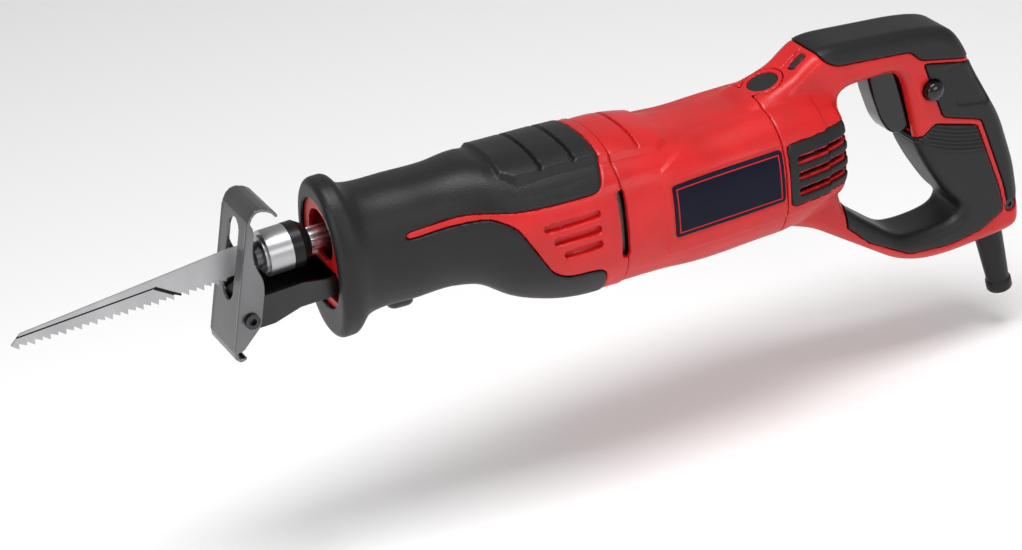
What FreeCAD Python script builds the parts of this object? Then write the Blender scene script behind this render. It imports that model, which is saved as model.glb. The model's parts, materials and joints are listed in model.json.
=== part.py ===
import FreeCAD, Part
import math
import os

# Corded reciprocating saw, 150 mm blade, D-handle.  Millimetres.
# Frame: -X towards the blade tip, +X towards the handle, +Z up, blade teeth down.
# Origin: centre of the blade window on the shoe's bearing face.  The plunger axis is y = 0, z = 0.

V = FreeCAD.Vector

# ---- driving dimensions: blade and drive -------------------------------------------------
BLADE_LENGTH = 150.0
BLADE_TIP_X = -122.0
BLADE_HEIGHT = 19.0
BLADE_THICKNESS = 1.25
TOOTH_PITCH = 4.233          # six teeth to the inch
TOOTH_DEPTH = 2.4
TANG_X = 12.0                # where the blade narrows to its tang
STROKE = 28.0
ROD_RADIUS = 6.4
ROD_FRONT_X = 44.0
RUNNING = 0.05               # radial clearance of a running fit
CRANK_X = 174.0
CRANK_RADIUS = STROKE / 2.0
MOTOR_Z = -37.0
GEAR_TEETH = 44
PINION_TEETH = 8
GEAR_MODULE = 1.1
PINION_PITCH_RADIUS = PINION_TEETH * GEAR_MODULE / 2.0
GEAR_RADIUS = 28.4
GEAR_TOP_Z = -24.0
GEAR_ROOT_Z = -31.2
GEAR_TIP_Z = -33.4
CASE_SPLIT_Z = -16.0
YOKE_Z = (-13.0, -6.0)
ROLLER_RADIUS = 5.95

# ---- driving dimensions: shoe ------------------------------------------------------------
SHOE_TILT = 14.0             # degrees, foot of the shoe forward
SHOE_HALF_WIDTH = 17.6
SHEET = 1.8
SHOE_TOP = 31.0              # along the tilted face, from the origin
SHOE_BOTTOM = -47.0
PIVOT = (1.3, -26.6)         # x, z of the tilt pin
PIVOT_RADIUS = 3.0

# ---- driving dimensions: body ------------------------------------------------------------
RUBBER = 2.5                 # thickness of the soft overmoulding
WALL = 2.5                   # hard shell under it
MOTOR_WALL = 3.0
SEAM_FRONT_X = 213.0         # front cover / motor housing
SEAM_REAR_X = 315.0          # motor housing / rear housing
SEAM_GAP = 0.4
# stations of the body: x, centre z, half width, half height, exponent of the rounded outline
FRONT_STATIONS = [
    (54.0, -14.0, 26.0, 35.5, 2.3),
    (72.0, -14.0, 25.0, 33.5, 2.3),
    (120.0, -15.0, 27.0, 35.0, 2.4),
    (134.0, -16.5, 30.0, 37.0, 2.5),
    (150.0, -23.0, 37.5, 41.5, 2.6),
    (168.0, -27.5, 41.0, 44.0, 2.6),
    (185.0, -30.0, 42.0, 45.5, 2.6),
    (213.0, -31.8, 42.0, 45.3, 2.6),
]
MOTOR_STATIONS = [
    (213.0, -31.8, 42.0, 45.3, 2.6),
    (240.0, -33.5, 41.6, 44.3, 2.6),
    (254.0, -36.4, 41.0, 42.0, 2.6),
    (303.0, -37.6, 40.2, 40.4, 2.6),
    (315.0, -37.6, 40.0, 40.2, 2.6),
]
REAR_STATIONS = [
    (315.0, -37.6, 40.0, 40.2, 2.6),
    (335.0, -36.0, 39.0, 38.0, 2.7),
    (352.0, -35.0, 36.5, 33.0, 2.8),
    (363.0, -35.0, 29.0, 27.0, 3.0),
]
FLANGE_STATIONS = [
    (49.5, -14.0, 26.0, 44.5, 2.2),
    (52.5, -14.0, 28.4, 46.8, 2.2),
    (58.5, -14.0, 28.4, 46.8, 2.2),
    (64.5, -14.0, 26.6, 42.0, 2.2),
]
HANDLE_HALF_WIDTH = 17.5
BOOT_TOP = (471.5, -118.0)
BOOT_END = (483.0, -176.5)
CORD_RADIUS = 4.0


# ---- small helpers -----------------------------------------------------------------------
def box(x0, x1, y0, y1, z0, z1):
    return Part.makeBox(x1 - x0, y1 - y0, z1 - z0, V(x0, y0, z0))


def rod_x(x0, x1, r, y=0.0, z=0.0):
    return Part.makeCylinder(r, x1 - x0, V(x0, y, z), V(1, 0, 0))


def rod_y(y0, y1, r, x, z):
    return Part.makeCylinder(r, y1 - y0, V(x, y0, z), V(0, 1, 0))


def rod_z(z0, z1, r, x, y=0.0):
    return Part.makeCylinder(r, z1 - z0, V(x, y, z0), V(0, 0, 1))


def tube_x(x0, x1, r_out, r_in, y=0.0, z=0.0):
    return rod_x(x0, x1, r_out, y, z).cut(rod_x(x0, x1, r_in, y, z))


def plate(points, y0, y1):
    """A polygon in the XZ plane, extruded from y0 to y1."""
    corners = [V(x, y0, z) for x, z in points]
    face = Part.Face(Part.makePolygon(corners + corners[:1]))
    return face.extrude(V(0, y1 - y0, 0))


def fuse(shapes):
    return shapes[0].multiFuse(shapes[1:]).removeSplitter()


def outline(x, centre_z, half_width, half_height, exponent, inset=0.0, count=28):
    """A closed rounded outline across the body: |y/b|^n + |z/c|^n = 1."""
    points = []
    for k in range(count):
        angle = 2.0 * math.pi * k / count
        cos_a, sin_a = math.cos(angle), math.sin(angle)
        y = math.copysign(abs(cos_a) ** (2.0 / exponent), cos_a) * (half_width - inset)
        z = math.copysign(abs(sin_a) ** (2.0 / exponent), sin_a) * (half_height - inset)
        points.append(V(x, y, centre_z + z))
    curve = Part.BSplineCurve()
    curve.interpolate(Points=points, PeriodicFlag=True)
    return Part.Wire([curve.toShape()])


def station_at(stations, x):
    """The station at x, in line between its neighbours."""
    for low, high in zip(stations, stations[1:]):
        if low[0] <= x <= high[0]:
            t = (x - low[0]) / (high[0] - low[0])
            return tuple([x] + [a + (b - a) * t for a, b in zip(low[1:], high[1:])])
    raise ValueError("no station at x = %s" % x)


def body(stations, inset=0.0, x0=None, x1=None):
    """A lofted length of the body, from x0 to x1, drawn in by inset."""
    x0 = stations[0][0] if x0 is None else x0
    x1 = stations[-1][0] if x1 is None else x1
    inner = [s for s in stations if x0 < s[0] < x1]
    used = [station_at(stations, x0)] + inner + [station_at(stations, x1)]
    return Part.makeLoft([outline(*s, inset=inset) for s in used], True, True)


NODES = {}


def add(name, shape):
    solids = shape if isinstance(shape, list) else shape.Solids
    NODES[name] = solids[0] if len(solids) == 1 else Part.makeCompound(solids)
    bad = [s for s in solids if not s.isValid()]
    print("%-22s solids %d volume %9.1f %s" % (
        name, len(solids), sum(s.Volume for s in solids), "INVALID" if bad else ""))


# ---- blade -------------------------------------------------------------------------------
def build_blade():
    tooth_z = -10.0
    back_z = tooth_z + BLADE_HEIGHT
    tip = BLADE_TIP_X
    points = [(tip, -6.0), (tip + 5.0, -2.0), (-2.0, back_z), (TANG_X - 3.0, back_z),
              (TANG_X, 6.2), (tip + BLADE_LENGTH, 6.2), (tip + BLADE_LENGTH, -6.2),
              (TANG_X, -6.2), (TANG_X - 3.0, tooth_z + TOOTH_DEPTH), (-4.0, tooth_z + TOOTH_DEPTH)]
    x = -4.0
    count = int((x - (tip + 4.0)) / TOOTH_PITCH)
    for k in range(count):
        x = -4.0 - k * TOOTH_PITCH
        points.append((x - 0.3, tooth_z))
        points.append((x - TOOTH_PITCH, tooth_z + TOOTH_DEPTH))
    points.append((tip + 1.0, tooth_z + 0.8))
    blade = plate(points, -BLADE_THICKNESS / 2.0, BLADE_THICKNESS / 2.0)
    add("blade", blade.cut(rod_y(-2, 2, 2.2, TANG_X + 8.0, 0.0)))


# ---- blade clamp and plunger -------------------------------------------------------------
def build_clamp():
    slot = box(10.0, 29.0, -0.75, 0.75, -7.0, 7.0)
    hub = rod_x(13.0, ROD_FRONT_X, 7.3)
    hub = hub.fuse(Part.makeSphere(7.3, V(17.5, 0, 0)).common(box(9.0, 17.5, -8, 8, -8, 8)))
    pin_hole = rod_y(-8, 8, 2.0, TANG_X + 8.0, 0.0)
    add("clamp_body", hub.removeSplitter().cut(slot).cut(pin_hole))
    add("clamp_pin", rod_y(-7.0, 7.0, 1.95, TANG_X + 8.0, 0.0))
    ring = rod_x(18.6, 32.0, 12.6).fuse(rod_x(17.0, 18.6, 10.2)).removeSplitter()
    add("clamp_ring", ring.cut(rod_x(16.0, 33.0, 7.3)).cut(rod_x(25.0, 33.0, 10.2)))
    sleeve = rod_x(32.3, 38.0, 12.8)
    sleeve = sleeve.fuse(Part.makeCone(12.8, 9.4, 5.0, V(38.0, 0, 0), V(1, 0, 0))).removeSplitter()
    sleeve = sleeve.cut(rod_x(32.0, 43.0, 7.3 + RUNNING)).cut(rod_x(32.0, 38.0, 10.2))
    add("clamp_sleeve", sleeve)
    turns = []
    for k in range(5):
        turns.append(Part.makeTorus(9.0, 0.8, V(27.0 + 2.2 * k, 0, 0), V(1, 0, 0)))
    add("clamp_spring", turns)


def build_plunger():
    rod = rod_x(ROD_FRONT_X, CRANK_X - CRANK_RADIUS - 9.0, ROD_RADIUS)
    for k in range(6):
        angle = math.radians(30.0 + 60.0 * k)
        y, z = 7.6 * math.cos(angle), 7.6 * math.sin(angle)
        rod = rod.cut(rod_x(ROD_FRONT_X - 1.0, ROD_FRONT_X + 22.0, 2.2, y, z))
    add("plunger_rod", rod)
    x = CRANK_X - CRANK_RADIUS
    cross = box(x - 9.0, x + 9.0, -21.5, 21.5, *YOKE_Z)
    boss = box(x - 9.0, x + 9.0, -9.0, 9.0, YOKE_Z[1], 6.0)
    slot_half = ROLLER_RADIUS + 0.1
    slot = box(x - slot_half, x + slot_half, -20.0 + slot_half, 20.0 - slot_half,
               YOKE_Z[0], YOKE_Z[1] - 0.6)
    ends = [rod_z(YOKE_Z[0], YOKE_Z[1] - 0.6, slot_half, x, y) for y in (14.0, -14.0)]
    add("yoke", fuse([cross, boss]).cut(fuse([slot] + ends)))
    roller = rod_z(YOKE_Z[0] + 0.1, YOKE_Z[1] - 0.8, ROLLER_RADIUS, x)
    add("yoke_roller", roller.cut(rod_z(YOKE_Z[0], YOKE_Z[1] - 3.0, 3.0, x)))


# ---- gear train --------------------------------------------------------------------------
def build_crank():
    disc = rod_z(GEAR_ROOT_Z, GEAR_TOP_Z, GEAR_RADIUS, CRANK_X)
    teeth = []
    inner_r, half_root, half_tip = 23.0, 0.85, 0.45
    for k in range(GEAR_TEETH):
        profile = [V(0, -half_root, GEAR_ROOT_Z), V(0, -half_tip, GEAR_TIP_Z),
                   V(0, half_tip, GEAR_TIP_Z), V(0, half_root, GEAR_ROOT_Z)]
        face = Part.Face(Part.makePolygon(profile + profile[:1]))
        tooth = face.extrude(V(GEAR_RADIUS - inner_r, 0, 0))
        tooth.translate(V(CRANK_X + inner_r, 0, 0))
        tooth.rotate(V(CRANK_X, 0, 0), V(0, 0, 1), 360.0 * (k + 0.5) / GEAR_TEETH)
        teeth.append(tooth)
    trim = rod_z(GEAR_TIP_Z, GEAR_TOP_Z, GEAR_RADIUS, CRANK_X)
    gear = disc.multiFuse(teeth).common(trim)
    pin_x = CRANK_X - CRANK_RADIUS
    gear = gear.cut(rod_z(GEAR_TIP_Z, GEAR_TOP_Z, 6.0, CRANK_X))
    gear = gear.cut(rod_z(GEAR_ROOT_Z, GEAR_TOP_Z, 4.5, pin_x))
    for y in (-13.0, 13.0):
        gear = gear.cut(rod_z(GEAR_ROOT_Z, GEAR_TOP_Z, 4.5, CRANK_X + 4.0, y))
    add("crank_gear", gear)
    add("crank_pin", rod_z(GEAR_ROOT_Z, YOKE_Z[0] - 0.4, 4.5, pin_x))
    axle = rod_z(-60.0, GEAR_TOP_Z + 1.5, 6.0, CRANK_X)
    add("crank_axle", axle)


def build_armature():
    front_x, rear_x = 193.5, 313.0
    shaft = rod_x(front_x, 204.0, 3.1, z=MOTOR_Z)
    teeth = []
    for k in range(PINION_TEETH):
        angle = 2.0 * math.pi * k / PINION_TEETH
        profile = [V(front_x, -0.85, 2.6), V(front_x, -0.4, PINION_PITCH_RADIUS + 1.0),
                   V(front_x, 0.4, PINION_PITCH_RADIUS + 1.0), V(front_x, 0.85, 2.6)]
        face = Part.Face(Part.makePolygon(profile + profile[:1]))
        tooth = face.extrude(V(10.5, 0, 0))
        tooth.rotate(V(0, 0, 0), V(1, 0, 0), math.degrees(angle))
        tooth.translate(V(0, 0, MOTOR_Z))
        teeth.append(tooth)
    journal = rod_x(204.0, 228.0, 5.0, z=MOTOR_Z)
    middle = rod_x(228.0, 306.0, 5.0, z=MOTOR_Z)
    tail = rod_x(306.0, rear_x, 4.0, z=MOTOR_Z)
    add("armature_shaft", fuse([shaft] + teeth + [journal, middle, tail]))
    bore = rod_x(200.0, 310.0, 5.0, z=MOTOR_Z)
    fan = [rod_x(215.5, 217.5, 33.0, z=MOTOR_Z), rod_x(217.5, 225.5, 10.0, z=MOTOR_Z)]
    for k in range(16):
        vane = box(217.5, 225.5, -0.8, 0.8, 9.0, 32.5)
        vane.rotate(V(0, 0, 0), V(1, 0, 0), 360.0 * k / 16)
        vane.translate(V(0, 0, MOTOR_Z))
        fan.append(vane)
    add("cooling_fan", fuse(fan).cut(bore))
    core = rod_x(236.0, 282.0, 24.0, z=MOTOR_Z)
    for k in range(12):
        slot = box(236.0, 282.0, -1.0, 1.0, 15.0, 25.0)
        slot.rotate(V(0, 0, 0), V(1, 0, 0), 360.0 * k / 12)
        slot.translate(V(0, 0, MOTOR_Z))
        core = core.cut(slot)
    add("armature_core", core.cut(bore))
    ends = [rod_x(229.0, 236.0, 19.0, z=MOTOR_Z).cut(bore),
            rod_x(282.0, 289.5, 19.0, z=MOTOR_Z).cut(bore)]
    add("armature_windings", ends)
    add("commutator", rod_x(290.5, 304.5, 12.5, z=MOTOR_Z).cut(bore))


def build_stator():
    core = rod_x(236.0, 282.0, 36.0, z=MOTOR_Z).cut(rod_x(236.0, 282.0, 24.6, z=MOTOR_Z))
    add("stator_core", core)
    coils = []
    for x0, x1 in ((229.0, 236.0), (282.0, 289.0)):
        ring = tube_x(x0, x1, 34.5, 25.5, z=MOTOR_Z)
        for side in (-1, 1):
            coils.append(ring.common(box(x0, x1, -22, 22, MOTOR_Z + (0 if side > 0 else -36),
                                         MOTOR_Z + (36 if side > 0 else 0))).cut(
                box(x0, x1, -40, 40, MOTOR_Z - 4.0, MOTOR_Z + 4.0)))
    add("field_coils", coils)
    bridge = rod_x(306.0, 312.0, 36.5, z=MOTOR_Z).cut(rod_x(306.0, 312.0, 8.0, z=MOTOR_Z))
    for k in range(6):
        hole = rod_x(306.0, 312.0, 7.5, z=22.0)
        hole.rotate(V(0, 0, 0), V(1, 0, 0), 60.0 * k)
        hole.translate(V(0, 0, MOTOR_Z))
        bridge = bridge.cut(hole)
    add("bearing_bridge", bridge)
    add("rear_bearing", tube_x(306.0, 312.0, 8.0, 4.0 + RUNNING, z=MOTOR_Z))
    add("front_bearing", tube_x(205.0, 212.0, 11.0, 5.0 + RUNNING, z=MOTOR_Z))
    holders, brushes, springs = [], [], []
    for side in (-1, 1):
        y_in, y_out = 13.6, 34.0
        holder = box(291.0, 304.0, y_in, y_out, MOTOR_Z - 6.0, MOTOR_Z + 6.0)
        channel = box(294.0, 301.0, y_in, y_out - 1.5, MOTOR_Z - 4.0, MOTOR_Z + 4.0)
        brush = box(294.0, 301.0, 12.9, 26.0, MOTOR_Z - 4.0, MOTOR_Z + 4.0)
        spring = rod_y(26.0, y_out - 1.5, 2.6, 297.5, MOTOR_Z).cut(
            rod_y(26.0, y_out - 1.5, 1.8, 297.5, MOTOR_Z))
        parts = [holder.cut(channel), brush, spring]
        if side < 0:
            parts = [p.mirror(V(0, 0, 0), V(0, 1, 0)) for p in parts]
        holders.append(parts[0])
        brushes.append(parts[1])
        springs.append(parts[2])
    add("brush_holders", holders)
    add("carbon_brushes", brushes)
    add("brush_springs", springs)


def build_gear_case():
    outer = body(FRONT_STATIONS, RUBBER + WALL + 0.8, 142.0, SEAM_FRONT_X - 0.4)
    nose = rod_x(74.0, 146.0, 12.5)
    whole = outer.fuse(nose).removeSplitter()
    gear_room = rod_z(-36.0, CASE_SPLIT_Z, GEAR_RADIUS + 0.9, CRANK_X)
    yoke_room = box(149.0, 206.0, -23.0, 23.0, CASE_SPLIT_Z, -5.0)
    rod_room = box(149.0, 206.0, -10.0, 10.0, -5.0, 7.0)
    bore = rod_x(74.0, 149.0, 9.5)
    pinion_room = rod_x(190.0, 205.0, 6.6, z=MOTOR_Z)
    shaft_way = rod_x(205.0, SEAM_FRONT_X, 11.0, z=MOTOR_Z)
    seats = [rod_z(-46.0, -36.0, 13.0, CRANK_X), rod_z(-60.0, -46.0, 6.4, CRANK_X),
             rod_z(-60.5, -52.0, 13.0, CRANK_X)]
    whole = whole.cut(fuse([gear_room, yoke_room, rod_room, bore]))
    whole = whole.cut(fuse([pinion_room, shaft_way]))
    whole = whole.cut(fuse(seats))
    upper = whole.common(box(70.0, 220.0, -60, 60, CASE_SPLIT_Z, 60.0))
    lower = whole.common(box(70.0, 220.0, -60, 60, -100.0, CASE_SPLIT_Z))
    add("gear_case_upper", upper)
    add("gear_case_lower", lower)
    for name, z0, z1 in (("upper_crank_bearing", -46.0, -36.5), ("lower_crank_bearing", -60.0, -52.0)):
        ring = rod_z(z0, z1, 13.0, CRANK_X).cut(rod_z(z0, z1, 6.0 + RUNNING, CRANK_X))
        add(name, ring)
    add("front_bushing", tube_x(80.0, 100.0, 9.5, ROD_RADIUS + RUNNING))
    add("rear_bushing", tube_x(124.0, 146.0, 9.5, ROD_RADIUS + RUNNING))
    add("felt_seal", tube_x(75.0, 79.5, 9.5, ROD_RADIUS + 0.3))


# ---- shoe --------------------------------------------------------------------------------
def build_shoe():
    """Built upright with its face on x = 0, then tilted about the origin."""
    w = SHOE_HALF_WIDTH
    front = box(0.0, SHEET, -w, w, SHOE_BOTTOM + 1.0, SHOE_TOP - 1.0)
    top = [(0.0, SHOE_TOP - 1.0), (1.5, SHOE_TOP + 2.2), (4.5, SHOE_TOP + 3.8), (17.0, SHOE_TOP + 2.0),
           (17.0, SHOE_TOP + 0.2), (5.0, SHOE_TOP + 1.9), (2.9, SHOE_TOP + 0.9), (SHEET, SHOE_TOP - 1.0)]
    lip = plate(top, -w, w)
    low = [(0.0, SHOE_BOTTOM + 1.0), (1.6, SHOE_BOTTOM - 1.8), (5.0, SHOE_BOTTOM - 2.6),
           (7.4, SHOE_BOTTOM - 0.8), (6.2, SHOE_BOTTOM + 0.5), (4.6, SHOE_BOTTOM - 0.8),
           (2.8, SHOE_BOTTOM - 0.4), (SHEET, SHOE_BOTTOM + 1.0)]
    curl = plate(low, -w, w)
    side = [(0.0, SHOE_BOTTOM + 4.0), (5.0, SHOE_BOTTOM + 4.0), (14.5, -29.0), (14.0, -9.0),
            (12.0, -2.0), (5.5, 6.0), (3.5, 12.0), (5.5, 18.0), (5.5, 24.0), (2.0, 27.0), (0.0, 27.0)]
    sides = [plate(side, -w, -w + SHEET), plate(side, w - SHEET, w)]
    shoe = fuse([front, lip, curl] + sides)
    window = box(-1.0, SHEET + 1.0, -7.0, 7.0, -12.0, 25.0)
    ends = [rod_x(-1.0, SHEET + 1.0, 7.0, z=z) for z in (-12.0, 25.0)]
    shoe = shoe.cut(fuse([window] + ends))
    shoe.rotate(V(0, 0, 0), V(0, 1, 0), SHOE_TILT)
    shoe = shoe.cut(rod_y(-40.0, 40.0, PIVOT_RADIUS + RUNNING, *PIVOT))
    add("shoe", shoe)
    pin = rod_y(-w - 0.3, w + 0.3, PIVOT_RADIUS, *PIVOT)
    head = rod_y(-w - 1.9, -w - 0.3, 4.2, *PIVOT)
    nut = rod_y(w + 0.3, w + 1.9, 4.2, *PIVOT)
    socket = rod_y(-w - 2.0, -w + 0.5, 2.0, *PIVOT)
    add("shoe_pivot_screw", fuse([pin, head, nut]).cut(socket))


def build_bracket():
    """A channel, open at the top, that carries the shoe and slides into the nose."""
    side = [(-2.0, -22.0), (1.0, -19.6), (8.0, -16.0), (33.0, -15.5), (46.0, -17.9),
            (136.0, -17.9), (136.0, -29.0), (40.0, -29.0), (33.4, -28.0), (14.5, -33.4),
            (1.5, -33.4), (-3.0, -31.0)]
    walls = [plate(side, y, y + 2.0) for y in (-15.4, 13.4)]
    floor = box(40.0, 136.0, -15.4, 15.4, -29.0, -27.0)
    brace = box(17.0, 40.0, -15.4, 15.4, -29.0, -27.0)
    channel = fuse(walls + [floor, brace])
    channel = channel.cut(box(60.0, 130.0, -4.5, 4.5, -30.0, -26.0))
    add("shoe_bracket", channel.cut(rod_y(-20, 20, PIVOT_RADIUS, *PIVOT)))
    pad = body(FRONT_STATIONS, 0.0, 82.0, 98.0).common(box(82.0, 98.0, -9.0, 9.0, -70.0, -44.0))
    pad.translate(V(0, 0, -4.8))
    stem = box(86.0, 94.0, -3.5, 3.5, -52.0, -27.6)
    add("release_button", pad.fuse(stem).removeSplitter())
    coil = rod_z(-48.8, -29.4, 6.3, 90.0).cut(rod_z(-48.8, -29.4, 5.4, 90.0))
    add("release_spring", coil)


# ---- front cover and its soft grip --------------------------------------------------------
# outlines of the bare red side panel and of the grip's rear edge, seen from the side
PANEL = [(91.0, -1.2), (124.0, -1.0), (150.0, -4.5), (196.0, -6.4), (201.0, -4.4), (206.0, 8.0),
         (206.0, 40.0), (214.0, 40.0), (214.0, -90.0), (200.0, -90.0), (200.0, -55.0),
         (194.7, -51.0), (175.0, -49.8), (166.4, -44.4), (149.6, -13.0), (137.6, -5.5),
         (124.0, -5.2), (91.0, -5.0)]


def build_front():
    barrel = body(FRONT_STATIONS)
    hard = body(FRONT_STATIONS, RUBBER)
    panel = plate(PANEL, -60.0, 60.0)
    mouth = body(FRONT_STATIONS, RUBBER + 1.0, 54.0, 62.0)
    mouth.translate(V(-6.5, 0, 0))
    button_way = box(81.4, 98.6, -9.6, 9.6, -70.0, -40.0)
    grip = barrel.fuse(body(FLANGE_STATIONS)).cut(hard).cut(panel)
    add("front_grip", grip.cut(mouth).cut(button_way))
    room = body(FRONT_STATIONS, RUBBER + WALL, 57.5, SEAM_FRONT_X)
    cover = hard.fuse(barrel.common(panel)).cut(room)
    cover = cover.common(box(54.0, SEAM_FRONT_X - SEAM_GAP, -60, 60, -90, 60))
    upper_mouth = rod_x(53.0, 58.0, 14.6)
    lower_mouth = box(53.0, 58.0, -16.6, 16.6, -36.0, -17.2)
    cover = cover.cut(upper_mouth).cut(lower_mouth).cut(button_way)
    for z, x0 in ((-17.3, 165.0), (-26.1, 170.0), (-35.0, 175.0)):
        cover = cover.cut(box(x0, 197.0, -50.0, -40.0, z - 2.0, z + 2.0))
        cover = cover.cut(box(x0, 197.0, 40.0, 50.0, z - 2.0, z + 2.0))
    add("front_cover", cover)


# ---- motor housing -----------------------------------------------------------------------
LABEL = (242.0, 312.0, -46.5, -15.2)


def build_motor_housing():
    shell = body(MOTOR_STATIONS, 0.0, SEAM_FRONT_X, SEAM_REAR_X - SEAM_GAP)
    shell = shell.cut(body(MOTOR_STATIONS, MOTOR_WALL))
    x0, x1, z0, z1 = LABEL
    for side in (-1, 1):
        low, high = sorted((side * 39.1, side * 50.0))
        shell = shell.cut(box(x0, x1, low, high, z0, z1))
        low, high = sorted((side * 36.0, side * 50.0))
        shell = shell.cut(box(SEAM_FRONT_X - 1.0, SEAM_FRONT_X + 3.4, low, high, -49.0, -9.0))
    add("motor_housing", shell)
    for side, name in ((-1, "label_left"), (1, "label_right")):
        low, high = sorted((side * 39.1, side * 40.6))
        add(name, box(x0 + 0.3, x1 - 0.3, low, high, z0 + 0.3, z1 - 0.3))


# ---- rear housing, handle and grips -------------------------------------------------------
HANDLE_OUTER = [(318.0, 2.0), (326.0, 11.0), (336.0, 18.5), (348.0, 22.5), (361.0, 23.4),
                (420.0, 17.2), (438.0, 13.4), (446.0, 8.0), (453.0, -4.0), (457.0, -16.0),
                (475.5, -53.0), (484.6, -86.0), (489.0, -124.0), (485.0, -130.0),
                (470.0, -131.5), (436.0, -133.0), (418.0, -131.0), (401.0, -125.2),
                (345.0, -86.0), (318.0, -76.0)]
HANDLE_HOLE = [(370.0, -4.4), (404.0, -4.4), (409.0, -10.0), (421.0, -47.0), (424.0, -54.0),
               (433.0, -73.0), (441.0, -91.0), (448.0, -102.0), (445.0, -108.0), (436.0, -112.0),
               (418.0, -113.0), (403.0, -111.5), (375.0, -88.0), (363.5, -76.0), (363.5, -12.0)]
TOP_GRIP = [(344.0, 40.0), (349.0, 24.0), (355.0, 16.0), (364.0, 10.0), (413.0, 6.0),
            (419.0, -0.5), (457.0, -10.0), (475.0, 40.0)]
BACK_GRIP = [(422.0, -2.5), (457.0, -11.0), (500.0, -11.0), (500.0, -112.0), (480.0, -112.0),
             (475.0, -96.0), (459.0, -50.0), (434.0, -42.0)]
INNER_GRIP = [(429.5, -42.5), (458.0, -51.0), (474.0, -97.0), (478.0, -112.0), (459.0, -122.0),
              (436.0, -124.7), (408.0, -121.5), (381.0, -106.0), (366.0, -91.0), (362.0, -70.0),
              (400.0, -60.0), (420.0, -50.0)]


def ring(inset, half_width):
    """The D of the handle: a plate with the hand hole, drawn in by inset."""
    def wire(points):
        corners = [V(x, 0, z) for x, z in points]
        return Part.makePolygon(corners + corners[:1])
    outer = wire(HANDLE_OUTER).makeOffset2D(-inset, 2) if inset else wire(HANDLE_OUTER)
    hole = wire(HANDLE_HOLE).makeOffset2D(inset, 2) if inset else wire(HANDLE_HOLE)
    solids = []
    for w in (outer, hole):
        slab = Part.Face(w).extrude(V(0, 2.0 * half_width, 0))
        slab.translate(V(0, -half_width, 0))
        solids.append(slab)
    return solids[0].cut(solids[1])


def rounded(solid, radius):
    """Round the long edges of a plate whose two faces lie across Y."""
    edges = []
    for edge in solid.Edges:
        ends = [v.Point for v in edge.Vertexes]
        if len(ends) == 2 and abs(ends[0].y - ends[1].y) < 1e-6 and abs(abs(ends[0].y)) > 1.0:
            edges.append(edge)
    return solid.makeChamfer(radius, edges)


def build_handle():
    narrow = HANDLE_HALF_WIDTH
    cap = body(REAR_STATIONS, 0.0, SEAM_REAR_X, 363.0)
    cap_room = body(REAR_STATIONS, MOTOR_WALL, SEAM_REAR_X, 360.0)
    outer_ring = rounded(ring(0.0, narrow), 5.0)
    soft_ring = rounded(ring(2.0, narrow - 2.0), 4.0)
    room_ring = ring(4.5, narrow - 4.5)
    shell = outer_ring.fuse(cap)
    grips = []
    for name, points in (("top_grip", TOP_GRIP), ("back_grip", BACK_GRIP), ("inner_grip", INNER_GRIP)):
        zone = plate(points, -60.0, 60.0)
        skin = outer_ring.cut(soft_ring).common(zone).cut(cap)
        grips.append((name, skin))
    for name, skin in grips:
        shell = shell.cut(skin)
    shell = shell.cut(cap_room).cut(room_ring)
    vents = [cap.cut(body(REAR_STATIONS, 1.8)).common(box(315.8, 359.0, low, high, -58.0, -15.0))
             for low, high in ((-60.0, -22.0), (22.0, 60.0))]
    for vent in vents:
        shell = shell.cut(vent)
    slots = []
    for k in range(3):
        z0 = -27.0 - 9.6 * k
        slots.append(box(322.0, 353.0, -60.0, 60.0, z0, z0 + 4.2))
    for name, vent in (("grille_left", vents[0]), ("grille_right", vents[1])):
        add(name, vent.cut(fuse(slots)))
    shell = shell.cut(fuse(slots).common(box(322.0, 353.0, -60.0, 60.0, -60.0, -15.0)))
    trigger_way = plate([(383.0, 5.0), (432.0, 5.0), (433.5, -46.0), (427.0, -50.0), (404.0, -50.0),
                         (383.0, -8.0)], -9.8, 9.8)
    lock_way = rod_y(-30.0, -9.8, 6.4, 427.0, -21.0)
    dial_way = Part.makeCylinder(9.0, 22.0, DIAL_SEAT, DIAL_AXIS)
    boot_way = Part.makeCylinder(8.4, 40.0, V(BOOT_TOP[0], 0, BOOT_TOP[1]) + BOOT_AXIS * 2.0, BOOT_AXIS)
    light_way = box(340.0, 350.0, -9.0, -3.0, 12.0, 40.0)
    pin_way = rod_y(-12.8, 12.8, 2.0, *TRIGGER_PIVOT)
    screw_way = fuse([rod_y(-30.0, -14.2, 4.2, *BOSS), rod_y(-15.0, -4.2, 1.6, *BOSS)])
    ways = [trigger_way, lock_way, dial_way, boot_way, light_way, pin_way, screw_way]
    for way in ways:
        shell = shell.cut(way)
    for name, skin in grips:
        for way in ways:
            skin = skin.cut(way)
        add(name, skin)
    add("rear_housing_left", shell.common(box(300.0, 500.0, -60.0, -0.05, -200.0, 60.0)))
    add("rear_housing_right", shell.common(box(300.0, 500.0, 0.0, 60.0, -200.0, 60.0)))


BOSS = (480.2, -112.6)
DIAL_AXIS = V(-0.258819, 0.0, 0.965926)
DIAL_SEAT = V(326.4, 0.0, 4.0)
BOOT_AXIS = V(BOOT_END[0] - BOOT_TOP[0], 0.0, BOOT_END[1] - BOOT_TOP[1]).normalize()
TRIGGER_PIVOT = (398.0, 0.6)


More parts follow.
